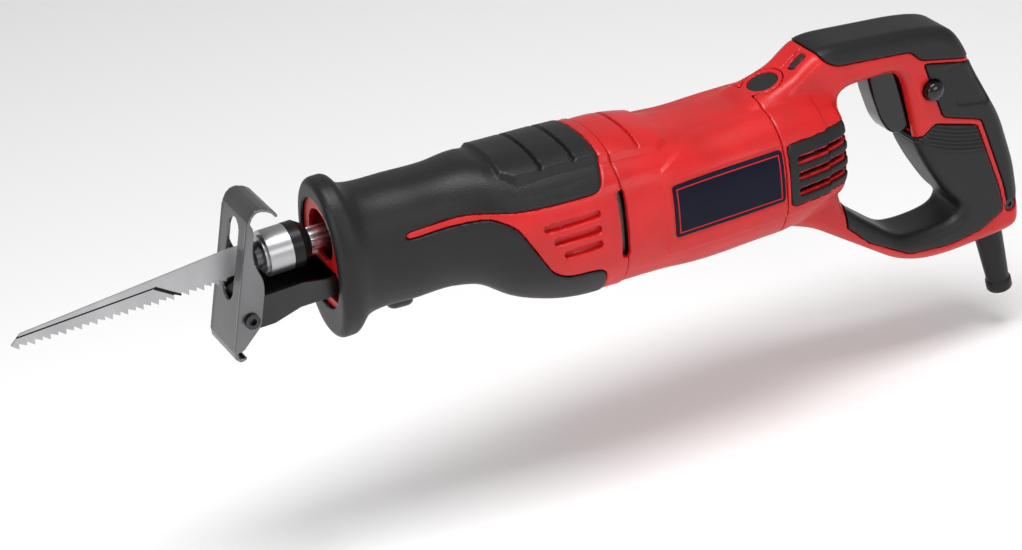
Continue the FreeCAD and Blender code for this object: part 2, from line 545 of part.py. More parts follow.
def build_controls():
    trigger = plate([(387.0, -5.5), (393.0, -3.0), (394.0, 4.0), (402.0, 4.0), (407.0, -3.0),
                     (419.0, -44.5), (410.0, -48.0), (403.0, -45.5), (396.0, -33.0), (390.0, -18.0)],
                    -9.0, 9.0)
    add("trigger", trigger.cut(rod_y(-10.0, 10.0, 2.0 + RUNNING, *TRIGGER_PIVOT)))
    add("trigger_pin", rod_y(-12.8, 12.8, 2.0, *TRIGGER_PIVOT))
    add("switch_module", box(434.0, 446.0, -10.5, 10.5, -42.0, -6.0))
    button = rod_y(-20.0, -13.0, 6.1, 427.0, -21.0)
    cap = Part.makeSphere(8.0, V(427.0, -15.9, -21.0)).common(rod_y(-30.0, -19.9, 6.1, 427.0, -21.0))
    add("lock_on_button", button.fuse(cap).removeSplitter())
    dial = Part.makeCylinder(8.7, 3.4, DIAL_SEAT + DIAL_AXIS * 0.3, DIAL_AXIS)
    add("speed_dial", dial)
    add("indicator_window", box(340.4, 349.6, -8.6, -3.4, 14.0, 21.5))
    add("speed_controller", box(322.0, 350.0, -18.0, 18.0, -62.0, -18.0))
    top = V(BOOT_TOP[0], 0, BOOT_TOP[1])
    length = (V(BOOT_END[0], 0, BOOT_END[1]) - top).Length
    boot = Part.makeCone(8.0, 6.0, length - 6.0, top, BOOT_AXIS)
    collar = Part.makeCylinder(7.1, 6.0, top + BOOT_AXIS * (length - 6.0), BOOT_AXIS)
    flange = Part.makeCylinder(10.5, 3.0, top - BOOT_AXIS * 3.0, BOOT_AXIS)
    bore = Part.makeCylinder(CORD_RADIUS, length + 10.0, top - BOOT_AXIS * 5.0, BOOT_AXIS)
    screw_way = rod_y(-15.0, -3.6, 2.0, *BOSS)
    add("strain_relief", fuse([boot, collar, flange]).cut(bore).cut(screw_way))
    add("cord_clamp", box(461.0, 479.0, -8.0, 8.0, -110.0, -106.0))


def build_fasteners():
    head = rod_y(-15.7, -14.2, 3.4, *BOSS)
    shank = rod_y(-14.2, -4.2, 1.6, *BOSS)
    add("handle_screw", head.fuse(shank).removeSplitter().cut(rod_y(-15.8, -14.7, 1.5, *BOSS)))


build_blade()
build_clamp()
build_plunger()
build_crank()
build_armature()
build_stator()
build_gear_case()
build_shoe()
build_bracket()
build_front()
build_motor_housing()
build_handle()
build_controls()
build_fasteners()

os.makedirs("parts", exist_ok=True)
for node, shape in NODES.items():
    shape.exportStep("parts/%s.step" % node)
print(len(NODES), "nodes")
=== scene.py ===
# %% [markdown]
# # A corded reciprocating saw
# The CAD frame brings every part at its true size. This lesson builds the skins that a buyer sees:
# the red shells, the soft black grips moulded over them, the handle, the blade and the controls.

# %% Load the frame
import json
import math
import bmesh
import bpy
import numpy as np
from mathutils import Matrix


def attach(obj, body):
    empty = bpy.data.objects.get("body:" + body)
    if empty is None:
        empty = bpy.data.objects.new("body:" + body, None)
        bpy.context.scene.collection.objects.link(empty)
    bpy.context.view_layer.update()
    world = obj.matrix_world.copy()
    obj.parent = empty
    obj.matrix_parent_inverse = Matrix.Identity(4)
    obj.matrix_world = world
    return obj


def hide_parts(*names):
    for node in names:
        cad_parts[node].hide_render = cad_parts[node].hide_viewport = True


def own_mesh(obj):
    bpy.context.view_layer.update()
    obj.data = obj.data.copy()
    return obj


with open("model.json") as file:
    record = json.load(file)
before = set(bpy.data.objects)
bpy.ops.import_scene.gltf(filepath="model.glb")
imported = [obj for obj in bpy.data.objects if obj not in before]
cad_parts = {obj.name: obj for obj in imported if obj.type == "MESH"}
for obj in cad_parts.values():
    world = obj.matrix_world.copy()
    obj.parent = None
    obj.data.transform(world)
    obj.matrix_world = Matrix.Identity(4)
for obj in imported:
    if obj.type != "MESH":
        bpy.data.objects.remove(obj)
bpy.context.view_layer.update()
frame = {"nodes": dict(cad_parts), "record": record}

import openvdb
from mathutils import Matrix, Vector

MM = 0.001

# %% [markdown]
# ## Skins from a distance field
# A moulded housing is a set of soft blended volumes with even walls and rounded rims. Boxes and
# cylinders with bevels could stand for it, but blends between a barrel and a handle are hard to bevel.
# A distance field gives them for nothing: a formula says how far a point is from the surface, a volume
# grid turns it into a mesh, and each vertex is then moved onto the exact surface.

# %% Field helpers
def rounded_max(a, b, r):
    """Both solids at once, with the edge where they meet rounded to radius r."""
    return np.minimum(np.maximum(a, b), -r) + np.hypot(np.maximum(a + r, 0), np.maximum(b + r, 0))


def soft_min(a, b, k):
    """Either solid, with a fillet of about size k between them."""
    h = np.maximum(k - np.abs(a - b), 0) / k
    return np.minimum(a, b) - h * h * k * 0.25


def along(stations, x):
    """Smooth values between the stations of a lofted body."""
    table = np.array(stations, float)
    xs, rows = table[:, 0], table[:, 1:]
    slope = np.gradient(rows, xs, axis=0)
    i = np.clip(np.searchsorted(xs, x) - 1, 0, len(xs) - 2)
    h = (xs[i + 1] - xs[i])[..., None]
    u = np.clip((x - xs[i])[..., None] / h, 0, 1)
    value = ((2 * u**3 - 3 * u**2 + 1) * rows[i] + (u**3 - 2 * u**2 + u) * h * slope[i]
             + (3 * u**2 - 2 * u**3) * rows[i + 1] + (u**3 - u**2) * h * slope[i + 1])
    return [value[..., k] for k in range(value.shape[-1])]


def lofted(stations, x, y, z):
    """Distance to a body whose outline is |y/b|^n + |z/c|^n = 1 at each station."""
    zc, b, c, n = along(stations, x)
    dy, dz = np.abs(y) + 1e-4, np.abs(z - zc) + 1e-4
    r = ((dy / b) ** n + (dz / c) ** n) ** (1 / n)
    return (r - 1) * np.hypot(dy, dz) / r


def inside_outline(points, a, b):
    """Signed distance in a plane to a closed outline, negative inside."""
    p = np.array(points, float)
    q = np.roll(p, -1, axis=0)
    best = np.full(np.broadcast(a, b).shape, 1e9)
    winding = np.zeros(best.shape, bool)
    for (ax, az), (bx, bz) in zip(p, q):
        ex, ez = bx - ax, bz - az
        t = np.clip(((a - ax) * ex + (b - az) * ez) / (ex * ex + ez * ez), 0, 1)
        best = np.minimum(best, (a - ax - t * ex) ** 2 + (b - az - t * ez) ** 2)
        if bz != az:
            crosses = ((az > b) != (bz > b)) & (a < (bx - ax) * (b - az) / (bz - az) + ax)
            winding ^= crosses
    return np.where(winding, -1, 1) * np.sqrt(best)


def rounded_outline(points, radius=6.0, count=5):
    """The outline with each corner swapped for a short curve."""
    p = np.array(points, float)
    out = []
    for k in range(len(p)):
        a, b, c = p[k - 1], p[k], p[(k + 1) % len(p)]
        ra = min(radius, 0.45 * np.linalg.norm(a - b))
        rc = min(radius, 0.45 * np.linalg.norm(c - b))
        s = b + (a - b) / np.linalg.norm(a - b) * ra
        e = b + (c - b) / np.linalg.norm(c - b) * rc
        for t in np.linspace(0, 1, count):
            out.append((1 - t) ** 2 * s + 2 * t * (1 - t) * b + t * t * e)
    return np.array(out)


def box_field(x, y, z, low, high, r=1.0):
    """A box with rounded edges."""
    q = [np.abs(v - (a + b) / 2) - (b - a) / 2 + r for v, a, b in zip((x, y, z), low, high)]
    outside = np.sqrt(sum(np.maximum(v, 0) ** 2 for v in q))
    return outside + np.minimum(np.maximum(np.maximum(q[0], q[1]), q[2]), 0) - r


# %% Field to mesh
def to_object(name, points, faces, material, smooth_angle=40):
    mesh = bpy.data.meshes.new(name)
    mesh.from_pydata((np.asarray(points) * MM).tolist(), [], faces)
    mesh.update()
    mesh.materials.append(material)
    mesh.shade_smooth()
    mesh.set_sharp_from_angle(angle=math.radians(smooth_angle))
    piece = bpy.data.objects.new(name, mesh)
    bpy.context.scene.collection.objects.link(piece)
    return piece


def skin(name, field, low, high, step, material):
    """Meshes field = 0 inside the box from low to high, in millimetres."""
    step = step * 1.0
    axes = [np.arange(a, b + step, step) for a, b in zip(low, high)]
    x, y, z = np.meshgrid(*axes, indexing="ij", sparse=True)
    values = np.broadcast_to(field(x, y, z), [len(a) for a in axes])
    grid = openvdb.FloatGrid(3 * step)
    grid.copyFromArray(np.ascontiguousarray(np.clip(values, -3 * step, 3 * step), np.float32))
    points, tris, quads = grid.convertToPolygons(isovalue=0.0, adaptivity=0.0)
    p = points.astype(float) * step + np.array(low)
    for turn in range(4):
        v = field(*p.T)
        grad = np.stack([(field(*(p + d).T) - field(*(p - d).T)) / 0.1
                         for d in np.eye(3) * 0.05], axis=1)
        size = np.maximum((grad ** 2).sum(1), 0.3)
        p -= np.clip(grad * (v / size)[:, None], -0.5 * step, 0.5 * step)
    faces = [tuple(f) for f in tris.tolist()] + [tuple(f) for f in quads.tolist()]
    q = p[quads]
    volume = np.einsum("ij,ij->", np.cross(q[:, 1] - q[:, 0], q[:, 2] - q[:, 0]), q[:, 0])
    if volume < 0:
        faces = [f[::-1] for f in faces]
    piece = to_object(name, p, faces, material)
    print("%-20s %6d faces" % (name, len(faces)))
    return piece


def place(piece, body, slot, *nodes):
    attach(piece, body)
    if nodes:
        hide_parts(*nodes)
    return piece


# %% [markdown]
# ## Finishes
# Every finish is a node tree on Object coordinates, so a grain stays the same size on every piece.
# One helper lays fine grain and a slow drift of colour and roughness over a base colour.

# %% Finish helper
GRAIN_DEPTH = 0.0002


def finish(name, colour, rough, grain=0.0, size=900.0, metal=0.0, drift=0.12, coat=0.0,
           shine=0.22):
    """A moulded or ground finish: colour drift, roughness drift and fine grain."""
    material = bpy.data.materials.new(name)
    material.use_nodes = True
    nodes, links = material.node_tree.nodes, material.node_tree.links
    shader = nodes["Principled BSDF"]
    shader.inputs["Metallic"].default_value = metal
    shader.inputs["Coat Weight"].default_value = coat
    shader.inputs["Specular IOR Level"].default_value = shine
    where = nodes.new("ShaderNodeTexCoord")
    slow = nodes.new("ShaderNodeTexNoise")
    slow.inputs["Scale"].default_value = 35.0
    slow.inputs["Detail"].default_value = 4.0
    links.new(where.outputs["Object"], slow.inputs["Vector"])
    ramp = nodes.new("ShaderNodeValToRGB")
    for k, f in ((0, 1 - drift), (1, 1 + drift)):
        ramp.color_ramp.elements[k].position = 0.3 + 0.4 * k
        ramp.color_ramp.elements[k].color = [min(c * f, 1.0) for c in colour] + [1.0]
    links.new(slow.outputs["Fac"], ramp.inputs["Fac"])
    links.new(ramp.outputs["Color"], shader.inputs["Base Color"])
    spread = nodes.new("ShaderNodeMapRange")
    spread.inputs["To Min"].default_value = max(rough - 0.06, 0.02)
    spread.inputs["To Max"].default_value = min(rough + 0.06, 1.0)
    links.new(slow.outputs["Fac"], spread.inputs["Value"])
    links.new(spread.outputs["Result"], shader.inputs["Roughness"])
    if grain:
        fine = nodes.new("ShaderNodeTexNoise")
        fine.inputs["Scale"].default_value = size
        fine.inputs["Detail"].default_value = 2.0
        links.new(where.outputs["Object"], fine.inputs["Vector"])
        bump = nodes.new("ShaderNodeBump")
        bump.inputs["Strength"].default_value = grain
        bump.inputs["Distance"].default_value = GRAIN_DEPTH
        links.new(fine.outputs["Fac"], bump.inputs["Height"])
        links.new(bump.outputs["Normal"], shader.inputs["Normal"])
    return material


# %% The saw's finishes
finishes = {
    "red_plastic": finish("red_shell", (0.52, 0.008, 0.009), 0.36, 0.55, 1700, coat=0.08,
                          shine=0.36),
    "black_rubber": finish("soft_black_rubber", (0.0075, 0.0075, 0.008), 0.42, 0.9, 1300, shine=0.34),
    "grille_plastic": finish("vent_plastic", (0.014, 0.014, 0.015), 0.42, 0.3, 1300),
    "gloss_black": finish("glossy_button", (0.004, 0.004, 0.0045), 0.16, 0.06, 700, coat=0.2,
                          shine=0.4),
    "boot_rubber": finish("boot_rubber", (0.012, 0.012, 0.013), 0.42, 0.4, 1000),
    "shoe_steel": finish("blackened_shoe", (0.17, 0.17, 0.175), 0.30, 0.3, 700, 1.0),
    "bracket_steel": finish("blackened_bracket", (0.05, 0.05, 0.052), 0.34, 0.3, 700, 1.0),
    "screw_steel": finish("black_screw", (0.06, 0.06, 0.062), 0.3, 0.2, 600, 1.0),
    "dark_steel": finish("dark_clamp_steel", (0.10, 0.10, 0.11), 0.35, 0.2, 600, 1.0),
    "polished_steel": finish("polished_ring", (0.42, 0.42, 0.43), 0.34, 0.1, 400, 1.0, 0.05),
    "sleeve_plastic": finish("sleeve_plastic", (0.006, 0.006, 0.0065), 0.3, 0.2, 900),
    "rod_steel": finish("ground_rod", (0.62, 0.62, 0.64), 0.22, 0.1, 500, 1.0, 0.05),
    "spring_steel": finish("spring_wire", (0.4, 0.4, 0.42), 0.3, 0.1, 500, 1.0),
    "gear_steel": finish("gear_steel", (0.3, 0.3, 0.32), 0.3, 0.15, 500, 1.0),
    "bearing_steel": finish("bearing_steel", (0.5, 0.5, 0.52), 0.25, 0.1, 500, 1.0),
    "bronze": finish("sintered_bronze", (0.42, 0.26, 0.10), 0.4, 0.3, 900, 1.0),
    "felt": finish("felt", (0.25, 0.24, 0.22), 0.95, 0.8, 1500),
    # painted shade: the gear case and the stacked steel are far darker than their metal, so that where
    # they show through the vent slot they stand in for the shade deep in the slot; the stacked steel
    # is partly its own dark grey
    "gearcase_metal": finish("gear_case_painted_shade", (0.12, 0.12, 0.12), 0.5, 0.5, 500, 1.0),
    "lamination_steel": finish("stacked_steel_painted_shade", (0.05, 0.05, 0.05), 0.5, 0.4, 1200, 1.0),
    "copper": finish("enamelled_copper", (0.50, 0.20, 0.08), 0.35, 0.4, 900, 1.0),
    "fan_plastic": finish("fan_plastic", (0.05, 0.05, 0.05), 0.5, 0.2, 900),
    "bridge_plastic": finish("bridge_plastic", (0.06, 0.06, 0.07), 0.5, 0.2, 900),
    "switch_plastic": finish("switch_plastic", (0.05, 0.05, 0.06), 0.5, 0.2, 900),
    "carbon": finish("pressed_carbon", (0.04, 0.04, 0.04), 0.7, 0.4, 900),
    "window_plastic": finish("window_plastic", (0.03, 0.008, 0.008), 0.12, 0.05, 400, coat=0.5),
    "label_film": finish("label_film", (0.004, 0.005, 0.012), 0.3, 0.1, 900),
    "blade_steel": finish("blade_steel", (0.55, 0.56, 0.57), 0.34, 0.25, 900, 0.75),
}
for entry in frame["record"]["subparts"]:
    node = frame["nodes"][entry["node"]]
    node.data.materials.clear()
    node.data.materials.append(finishes[entry["material_slot"]])
    node.data.shade_smooth()
    node.data.set_sharp_from_angle(angle=math.radians(30))
print(len(finishes), "finishes")

# %% [markdown]
# ## Front barrel
# The gear case sits in a red cover, and a second shot of soft rubber is moulded over it for the hand.
# The rubber ends in a rolled rim beside a bare red side panel. Both skins share one body field, so
# they meet exactly along one line: the rubber stands a little proud and the red sinks a little there.

# %% Body stations and outlines, in millimetres
FRONT = [
    (54.0, -13.6, 26.0, 37.4, 2.3), (64.0, -13.4, 26.4, 37.2, 2.3), (74.0, -13.4, 25.8, 35.4, 2.3),
    (95.0, -14.2, 26.2, 34.8, 2.4), (120.0, -15.0, 26.6, 34.6, 2.4), (134.0, -16.5, 29.5, 36.4, 2.5),
    (150.0, -23.0, 36.5, 40.5, 2.6), (168.0, -27.5, 40.4, 43.4, 2.6), (185.0, -30.0, 41.6, 45.0, 2.6),
    (206.0, -31.4, 41.8, 45.0, 2.6), (216.0, -31.8, 41.8, 45.0, 2.6),
]
MOTOR = [
    (208.0, -31.6, 41.8, 45.0, 2.6), (228.0, -32.4, 41.7, 44.8, 2.6), (242.0, -34.0, 41.6, 43.4, 2.7),
    (256.0, -36.6, 41.4, 41.8, 2.8), (303.0, -37.6, 40.9, 40.9, 2.8),
]
REAR = [
    (318.0, -37.6, 40.7, 40.6, 2.8), (335.0, -36.4, 39.6, 38.4, 2.8), (346.0, -35.6, 38.0, 35.6, 2.8),
    (356.0, -35.2, 35.0, 32.0, 3.0), (364.0, -35.0, 31.0, 29.0, 3.0),
]
PANEL = rounded_outline([
    (90.0, -0.9), (124.0, -0.8), (150.0, -4.5), (196.0, -6.4), (201.0, -4.4), (206.0, 8.0),
    (204.0, 40.0), (240.0, 40.0), (240.0, -95.0), (200.0, -95.0), (199.3, -55.0), (194.7, -51.0),
    (175.0, -49.8), (166.4, -44.4), (149.6, -13.0), (137.6, -5.9), (124.0, -5.2), (90.0, -5.0)], 5.0)


def plan_area(x, y, x0, x1, half, slant):
    """Signed distance, seen from above, to the thumb pad: a strip with cut-off corners."""
    side = np.abs(y) - half
    ends = np.abs(x - (x0 + x1) / 2) - (x1 - x0) / 2
    corner = (ends * 0.55 + side * 0.835) + slant
    return np.maximum(np.maximum(side, ends), corner)


def thumb_pad(x, y, z):
    """Height of the raised pad on top, with a sloped edge and three grooves cut across it."""
    rise = 2.5 * np.clip(-plan_area(x, y, 147.0, 250.0, 28.5, 4.5) / 2.2, 0, 1)
    cut = 0.0
    reach = np.clip((27.0 - np.abs(y)) / 2.0, 0, 1)
    for at in (171.0, 191.0, 230.0):
        cut = cut + np.clip(1.0 - np.abs(x - at) / 1.2, 0, 1) ** 0.5 * reach
    return (rise - 2.3 * cut) * np.clip((z + 4.0) / 6.0, 0, 1)


def barrel(x, y, z):
    """The front body, sunk a millimetre round the thumb pad so that the pad stands out."""
    sink = 1.0 * np.clip((x - 140.0) / 12.0, 0, 1) * np.clip((z + 4.0) / 6.0, 0, 1)
    return lofted(FRONT, x, y, z) + sink - thumb_pad(x, y, z)


def nose_ring(x, y, z):
    """The flared rubber guard at the front, an oval ring."""
    outer = lofted([(0, -14.0, 28.6, 46.4, 2.2), (400, -14.0, 28.6, 46.4, 2.2)], x, y, z)
    inner = lofted([(0, -10.2, 22.4, 31.6, 2.2), (400, -10.2, 22.4, 31.6, 2.2)], x, y, z)
    ends = np.abs(x - 56.3) - 6.4
    return rounded_max(rounded_max(outer, ends, 4.5), -inner, 1.0)


# %% Soft front grip
def grip_field(x, y, z):
    over = rounded_max(barrel(x, y, z) - 0.7, 57.0 - x, 1.0)
    solid = soft_min(over, nose_ring(x, y, z), 8.0)
    hollow = np.maximum(barrel(x, y, z) + 2.5, 51.4 - x)
    bare = -inside_outline(PANEL, x, z)
    button = box_field(x, y, z, (82.0, -9.4, -80.0), (98.4, 9.4, -30.0), 2.0)
    solid = rounded_max(solid, -hollow, 0.6)
    solid = rounded_max(solid, bare + 0.35, 1.1)
    return rounded_max(solid, -button, 0.8)


front_grip = place(skin("front_grip", grip_field, (43, -45, -80), (210, 45, 36), 1.05,
                        finishes["black_rubber"]), "housing", "black_rubber", "front_grip")


# %% Red front cover
def cover_field(x, y, z):
    hard = barrel(x, y, z) + 2.7
    bare = rounded_max(barrel(x, y, z), inside_outline(PANEL, x, z) + 0.25, 0.7)
    solid = np.minimum(hard, bare)
    solid = rounded_max(solid, x - 211.9, 0.8)
    solid = rounded_max(solid, 52.0 - x, 0.5)
    room = np.maximum(barrel(x, y, z) + 5.2, 55.0 - x)
    solid = rounded_max(solid, -room, 0.5)
    round_mouth = np.hypot(y, z) - 14.6
    low_mouth = box_field(x, y, z, (40, -16.6, -36.0), (60, 16.6, -17.4), 3.0)
    mouth = np.maximum(np.minimum(round_mouth, low_mouth), x - 60.0)
    solid = rounded_max(solid, -mouth, 0.5)
    for level, start in ((-17.3, 163.5), (-26.1, 168.5), (-35.0, 173.5)):
        slot = box_field(x, np.abs(y), z, (start, 30.0, level - 2.2), (197.0, 60.0, level + 2.2), 1.8)
        slot = np.maximum(slot, -(barrel(x, y, z) + 3.4))
        solid = rounded_max(solid, -slot, 0.4)
    vent = box_field(x, np.abs(y), z, (208.4, 30.0, -49.0), (220.0, 60.0, -8.7), 1.8)
    return rounded_max(solid, -vent, 0.6)


front_cover = place(skin("front_cover", cover_field, (49, -44, -80), (214, 44, 20), 1.1,
                         finishes["red_plastic"]), "housing", "red_plastic", "front_cover")


# %% [markdown]
# ## One field behind the front seam
# The motor tube, the end cap and the D-shaped handle are separate mouldings, but their outsides run
# on without a step. So one field describes them all, and the seam is a line that both sides stop at.

# %% Handle outlines
HANDLE_OUTER = rounded_outline([
    (306.0, 2.0), (318.0, 6.0), (327.0, 8.6), (337.0, 11.6), (344.5, 17.0), (352.0, 21.6),
    (362.0, 23.2), (420.0, 17.2), (438.0, 13.4), (446.0, 8.0), (453.0, -4.0), (457.0, -16.0),
    (475.5, -53.0), (484.6, -86.0), (488.6, -122.0), (485.0, -129.6), (470.0, -131.2),
    (436.0, -132.6), (418.0, -131.0), (401.0, -125.2), (345.0, -86.0), (318.0, -76.0)], 9.0)
HANDLE_HOLE = rounded_outline([
    (370.0, -4.4), (404.0, -4.4), (410.0, -12.0), (415.5, -42.0), (417.5, -56.0), (425.0, -72.0),
    (437.0, -92.0), (446.5, -102.5), (444.0, -109.0), (436.0, -112.0), (418.0, -113.0),
    (403.0, -111.0), (375.0, -88.0), (363.8, -76.0), (363.8, -12.0)], 9.0)
TOP_GRIP = rounded_outline([
    (347.0, 44.0), (351.5, 25.0), (356.0, 17.0), (364.0, 12.0), (413.0, 6.5), (420.0, -0.8),
    (457.0, -9.5), (480.0, -4.0), (480.0, 44.0)], 3.0)
BACK_GRIP = rounded_outline([
    (422.0, -3.6), (457.0, -12.0), (500.0, -9.0), (500.0, -105.0), (486.0, -105.0), (483.5, -116.0),
    (478.4, -115.0), (475.2, -97.0), (460.4, -50.0), (434.0, -40.8)], 3.0)
INNER_GRIP = rounded_outline([
    (405.0, -51.5), (418.5, -51.0), (428.2, -43.4), (457.6, -52.6), (472.0, -97.8),
    (475.0, -113.8), (459.0, -122.0), (436.0, -125.0), (408.0, -121.8), (381.5, -106.5),
    (363.0, -88.0), (358.0, -78.0), (375.0, -60.0), (405.0, -57.0)], 3.0)


def handle_ring(x, y, z):
    d = np.maximum(inside_outline(HANDLE_OUTER, x, z), -inside_outline(HANDLE_HOLE, x, z))
    return rounded_max(d, np.abs(y) - 17.4, 7.5)


SIDE_PANEL = rounded_outline([(237.0, -58.0), (237.0, -6.0), (257.0, 1.5), (345.0, 1.5),
                              (345.0, -58.0)], 2.0)


def rear_body(x, y, z):
    """The body behind the front seam: motor tube, end cap and handle, with raised side panels."""
    tube = lofted(MOTOR + REAR, x, y, z)
    pad = thumb_pad(x, y, z) * np.clip((252.0 - x) / 2.0, 0, 1)
    step = np.clip((262.0 - x) / 16.0, 0, 1) * np.clip((z + 4.0) / 6.0, 0, 1)
    side = 1.3 * np.clip(-inside_outline(SIDE_PANEL, x, z), 0, 1)
    side = side * np.clip((350.0 - x) / 6.0, 0, 1)
    tube = rounded_max(tube + 0.7 + step - pad - side, x - 362.0, 7.0)
    return soft_min(tube, handle_ring(x, y, z), 7.0)


SEAM_X = 313.9
DIAL_AT = np.array([326.4, 0.0, 4.0])
DIAL_AXIS = np.array([-0.258819, 0.0, 0.965926])


def dial_well(x, y, z, radius, floor):
    """A round hole along the dial's axis, open at the top."""
    up = (x - DIAL_AT[0]) * DIAL_AXIS[0] + (z - DIAL_AT[2]) * DIAL_AXIS[2]
    across = (x - DIAL_AT[0]) * DIAL_AXIS[2] - (z - DIAL_AT[2]) * DIAL_AXIS[0]
    return np.maximum(np.hypot(across, y) - radius, floor - up)


def seam_side(x, y, z):
    """Negative on the rear housing's side of the seam, which runs round behind the dial."""
    return -soft_min(x - SEAM_X + 0 * z, dial_well(x, y, z, 12.2, -9.0), 4.0)


# %% [markdown]
# ## Motor housing
# One red tube holds the motor. It carries a recess for the rating label on each side, a crease where
# the tube steps down behind the front seam, and half of the vent slot at the seam.

# %% Motor housing
LABEL = (241.5, 312.3, -46.5, -15.2)


def label_area(x, z, grow=0.0):
    """Signed distance to the label's rounded rectangle."""
    x0, x1, z0, z1 = LABEL
    qx = np.abs(x - (x0 + x1) / 2) - (x1 - x0) / 2 - grow + 2.0
    qz = np.abs(z - (z0 + z1) / 2) - (z1 - z0) / 2 - grow + 2.0
    return np.hypot(np.maximum(qx, 0), np.maximum(qz, 0)) + np.minimum(np.maximum(qx, qz), 0) - 2.0


def motor_field(x, y, z):
    body = rear_body(x, y, z)
    pit = 0.5 * np.clip(-label_area(x, z, 1.6) / 0.6, 0, 1)
    solid = rounded_max(body + pit, 212.3 - x, 0.8)
    solid = rounded_max(solid, 0.35 - seam_side(x, y, z), 0.7)
    solid = rounded_max(solid, -(body + 3.4), 0.5)
    solid = rounded_max(solid, -dial_well(x, y, z, 9.1, 0.0), 0.6)
    vent = box_field(x, np.abs(y), z, (200.0, 30.0, -49.0), (213.4, 60.0, -8.7), 1.8)
    return rounded_max(solid, -vent, 0.6)


motor_housing = place(skin("motor_housing", motor_field, (210, -45, -82), (342, 45, 23), 0.85,
                           finishes["red_plastic"]), "housing", "red_plastic", "motor_housing")

# %% [markdown]
# ## Rating labels
# A printed film sits in each recess: dark, with a black border and a thin red frame line. The line is
# drawn by the finish itself from the distance to the label's edge, so it stays sharp at any size.

# %% Label finish and films
def label_finish():
    """The dark film with a thin frame line at an even distance from its edge."""
    material = finish("rating_label", (0.004, 0.005, 0.015), 0.34, 0.1, 900, shine=0.12)
    nodes, links = material.node_tree.nodes, material.node_tree.links
    shader = nodes["Principled BSDF"]
    old = shader.inputs["Base Color"].links[0].from_socket
    split = nodes.new("ShaderNodeSeparateXYZ")
    where = [n for n in nodes if n.bl_idname == "ShaderNodeTexCoord"][0]
    links.new(where.outputs["Object"], split.inputs["Vector"])
    edges = []
    for axis, low, high in (("X", LABEL[0], LABEL[1]), ("Z", LABEL[2], LABEL[3])):
        off = nodes.new("ShaderNodeMath")
        off.operation = "SUBTRACT"
        links.new(split.outputs[axis], off.inputs[0])
        off.inputs[1].default_value = (low + high) / 2 * MM
        size = nodes.new("ShaderNodeMath")
        size.operation = "ABSOLUTE"
        links.new(off.outputs[0], size.inputs[0])
        edge = nodes.new("ShaderNodeMath")
        edge.operation = "SUBTRACT"
        edge.inputs[0].default_value = (high - low) / 2 * MM
        links.new(size.outputs[0], edge.inputs[1])
        edges.append(edge)
    nearest = nodes.new("ShaderNodeMath")
    nearest.operation = "MINIMUM"
    links.new(edges[0].outputs[0], nearest.inputs[0])
    links.new(edges[1].outputs[0], nearest.inputs[1])
    line = nodes.new("ShaderNodeMath")
    line.operation = "COMPARE"
    line.inputs[1].default_value = 2.6 * MM
    line.inputs[2].default_value = 0.35 * MM
    links.new(nearest.outputs[0], line.inputs[0])
    mix = nodes.new("ShaderNodeMix")
    mix.data_type = "RGBA"
    links.new(line.outputs[0], mix.inputs[0])
    links.new(old, mix.inputs[6])
    mix.inputs[7].default_value = (0.45, 0.02, 0.02, 1.0)
    links.new(mix.outputs[2], shader.inputs["Base Color"])
    return material


rating_label = label_finish()
for side, name in ((-1, "label_left"), (1, "label_right")):
    def film_field(x, y, z, side=side):
        film = np.abs(rear_body(x, y, z) + 0.9) - 1.05
        film = rounded_max(film, label_area(x, z, -0.1), 0.15)
        return np.maximum(film, 20.0 - side * y)
    low_y, high_y = sorted((side * 30.0, side * 45.0))
    place(skin(name, film_field, (240, low_y, -49), (314, high_y, -13), 0.7, rating_label),
          "housing", "label_film", name)

# %% [markdown]
# ## Rear housing and handle
# Two red halves, split down the middle, close over the switch and the motor's rear bearing. The
# D-shaped handle grows out of them with wide fillets, so the cap and the handle share one field.

# %% Openings of the handle
def trigger_gap(x, y, z):
    """Room for the trigger and its swing, between the handle's side walls."""
    way = inside_outline([(383, 5), (416, 5), (427, -40), (425, -49.5), (404, -50.5), (383, -8)], x, z)
    return np.maximum(way, np.abs(y) - 9.7)


def side_openings(solid, x, y, z, lock_radius):
    """Cuts the window's well, the lock-on button's hole and the screw's recess."""
    window = box_field(x, y, z, (340.0, -9.0, 8.0), (350.0, -3.0, 40.0), 2.4)
    lock = np.maximum(np.hypot(x - 427.0, z + 21.0) - lock_radius, y + 9.8)
    boss = np.maximum(np.hypot(x - 480.2, z + 112.6) - 4.3, y + 14.2)
    for opening in (window, lock, boss):
        solid = rounded_max(solid, -opening, 0.4)
    return solid


# %% Vent panel, dial pocket and seams
def vent_area(x, y, z):
    return rounded_max(box_field(x, 0 * y, z, (315.8, -9, -52.0), (361.0, 9, -14.5), 4.0),
                       24.0 - np.abs(y), 2.0)


BOOT_AT = (471.5, 0, -118.0)
BOOT_AXIS = (0.19288, 0, -0.98122)
GRILLE_PITCH = 9.6


